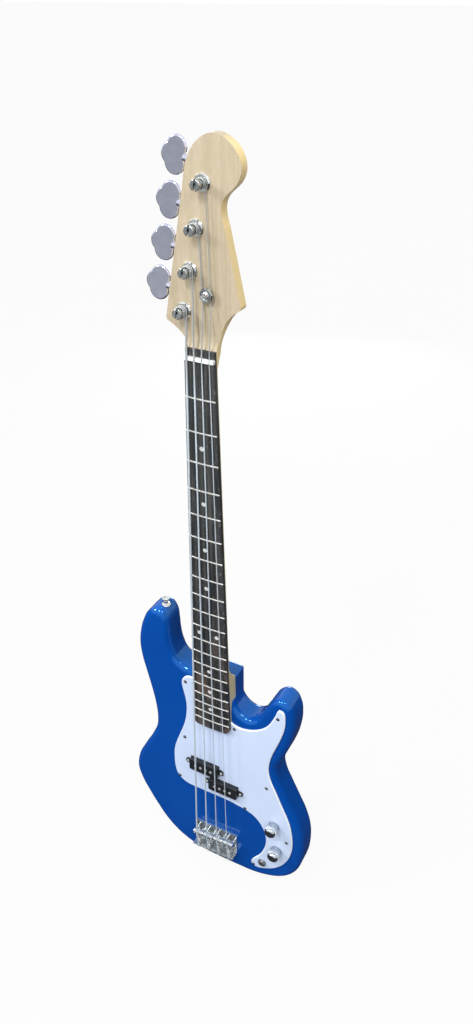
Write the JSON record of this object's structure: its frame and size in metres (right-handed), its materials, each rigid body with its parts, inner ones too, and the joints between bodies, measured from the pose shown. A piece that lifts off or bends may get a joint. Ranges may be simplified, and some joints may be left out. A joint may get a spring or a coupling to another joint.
{
  "type": "electric bass guitar",
  "caption": "Solid-body long-scale electric bass guitar with bolted neck, split pickup, barrel-saddle bridge and open worm-gear tuners on one side of the head.",
  "frame": {"origin": "middle of the nut's playing edge on the fretboard surface, where a yoke hanger holds the neck", "axes": "+X towards the thin string, +Y from the front into the instrument, +Z along the neck to the head"},
  "size_m": [0.3176, 0.0704, 1.198],
  "materials": {
    "lacquer": "gloss cobalt lacquer over wood",
    "guard": "gloss white sheet",
    "steel": "plain steel",
    "maple": "satin pale wood",
    "board": "oiled dark wood",
    "fretwire": "polished nickel wire",
    "ivory": "white plastic",
    "chrome": "bright chrome",
    "black_plastic": "satin black plastic",
    "pole": "ground magnet steel",
    "fibre": "vulcanised fibre",
    "copper": "enamelled copper wire",
    "foam": "grey foam",
    "can": "plated steel",
    "spring_brass": "spring brass",
    "insulation": "cloth-covered lead",
    "capacitor": "dipped",
    "felt": "white felt",
    "string_wire": "wound nickel steel",
    "gear_brass": "cut brass"
  },
  "bodies": {
    "instrument": {"body": "lacquer", "pickguard": "guard", "pickguard_screws": "steel", "neck": "maple", "fretboard": "board", "frets": "fretwire", "position_dots": "ivory", "nut": "ivory", "truss_rod": "steel", "string_tree": "chrome", "head_screws": "chrome", "tuner_plates": "chrome", "tuner_ferrules": "chrome", "bridge_plate": "chrome", "bridge_screws": "chrome", "intonation_screws": "chrome", "pickup_covers": "black_plastic", "pickup_poles": "pole", "pickup_bobbins": "fibre", "pickup_coils": "copper", "pickup_foam": "foam", "pot_cans": "can", "panel_nuts": "chrome", "output_jack": "chrome", "jack_contact": "spring_brass", "wiring": "insulation", "tone_capacitor": "capacitor", "strap_buttons": "chrome", "strap_button_screws": "chrome", "strap_felts": "felt", "neck_plate": "chrome", "neck_screws": "chrome", "string_e": "string_wire", "intonation_spring_e": "steel", "string_a": "string_wire", "intonation_spring_a": "steel", "string_d": "string_wire", "intonation_spring_d": "steel", "string_g": "string_wire", "intonation_spring_g": "steel"},
    "key_e": {"tuner_key_e": "chrome"},
    "post_e": {"tuner_post_e": "chrome", "tuner_gear_e": "gear_brass"},
    "key_a": {"tuner_key_a": "chrome"},
    "post_a": {"tuner_post_a": "chrome", "tuner_gear_a": "gear_brass"},
    "key_d": {"tuner_key_d": "chrome"},
    "post_d": {"tuner_post_d": "chrome", "tuner_gear_d": "gear_brass"},
    "key_g": {"tuner_key_g": "chrome"},
    "post_g": {"tuner_post_g": "chrome", "tuner_gear_g": "gear_brass"},
    "volume_control": {"knob_volume": "chrome", "pot_shaft_volume": "spring_brass"},
    "tone_control": {"knob_tone": "chrome", "pot_shaft_tone": "spring_brass"},
    "saddle_e": {"saddle_e": "chrome"},
    "saddle_a": {"saddle_a": "chrome"},
    "saddle_d": {"saddle_d": "chrome"},
    "saddle_g": {"saddle_g": "chrome"}
  },
  "joints": [
    {"name": "key_e_turn", "type": "hinge", "parent": "instrument", "child": "key_e", "pos_m": [-0.02267, 0.0323, 0.06774], "axis": [0.9799, 0, -0.1994], "continuous": true},
    {"name": "post_e_turn", "type": "hinge", "parent": "instrument", "child": "post_e", "pos_m": [-0.0252, 0, 0.0553], "axis": [0, 1, 0], "continuous": true},
    {"name": "key_a_turn", "type": "hinge", "parent": "instrument", "child": "key_a", "pos_m": [-0.0129, 0.0323, 0.11576], "axis": [0.9799, 0, -0.1994], "continuous": true},
    {"name": "post_a_turn", "type": "hinge", "parent": "instrument", "child": "post_a", "pos_m": [-0.01543, 0, 0.10332], "axis": [0, 1, 0], "continuous": true},
    {"name": "key_d_turn", "type": "hinge", "parent": "instrument", "child": "key_d", "pos_m": [-0.00313, 0.0323, 0.16378], "axis": [0.9799, 0, -0.1994], "continuous": true},
    {"name": "post_d_turn", "type": "hinge", "parent": "instrument", "child": "post_d", "pos_m": [-0.00566, 0, 0.15133], "axis": [0, 1, 0], "continuous": true},
    {"name": "key_g_turn", "type": "hinge", "parent": "instrument", "child": "key_g", "pos_m": [0.00664, 0.0323, 0.21179], "axis": [0.9799, 0, -0.1994], "continuous": true},
    {"name": "post_g_turn", "type": "hinge", "parent": "instrument", "child": "post_g", "pos_m": [0.00411, 0, 0.19935], "axis": [0, 1, 0], "continuous": true},
    {"name": "volume_turn", "type": "hinge", "parent": "instrument", "child": "volume_control", "pos_m": [0.1085, 0.0071, -0.784], "axis": [0, -1, 0], "range_deg": [-140, 140]},
    {"name": "tone_turn", "type": "hinge", "parent": "instrument", "child": "tone_control", "pos_m": [0.1141, 0.0071, -0.8425], "axis": [0, -1, 0], "range_deg": [-140, 140]},
    {"name": "saddle_e_slide", "type": "slide", "parent": "instrument", "child": "saddle_e", "axis": [0, 0, 1], "range_m": [0, 0.006], "deforming": ["intonation_spring_e"]},
    {"name": "saddle_a_slide", "type": "slide", "parent": "instrument", "child": "saddle_a", "axis": [0, 0, 1], "range_m": [0, 0.006], "deforming": ["intonation_spring_a"]},
    {"name": "saddle_d_slide", "type": "slide", "parent": "instrument", "child": "saddle_d", "axis": [0, 0, 1], "range_m": [0, 0.006], "deforming": ["intonation_spring_d"]},
    {"name": "saddle_g_slide", "type": "slide", "parent": "instrument", "child": "saddle_g", "axis": [0, 0, 1], "range_m": [0, 0.006], "deforming": ["intonation_spring_g"]}
  ],
  "couplings": [
    {"joint": "post_e_turn", "follows": "key_e_turn", "ratio": -0.05},
    {"joint": "post_a_turn", "follows": "key_a_turn", "ratio": -0.05},
    {"joint": "post_d_turn", "follows": "key_d_turn", "ratio": -0.05},
    {"joint": "post_g_turn", "follows": "key_g_turn", "ratio": -0.05}
  ]
}
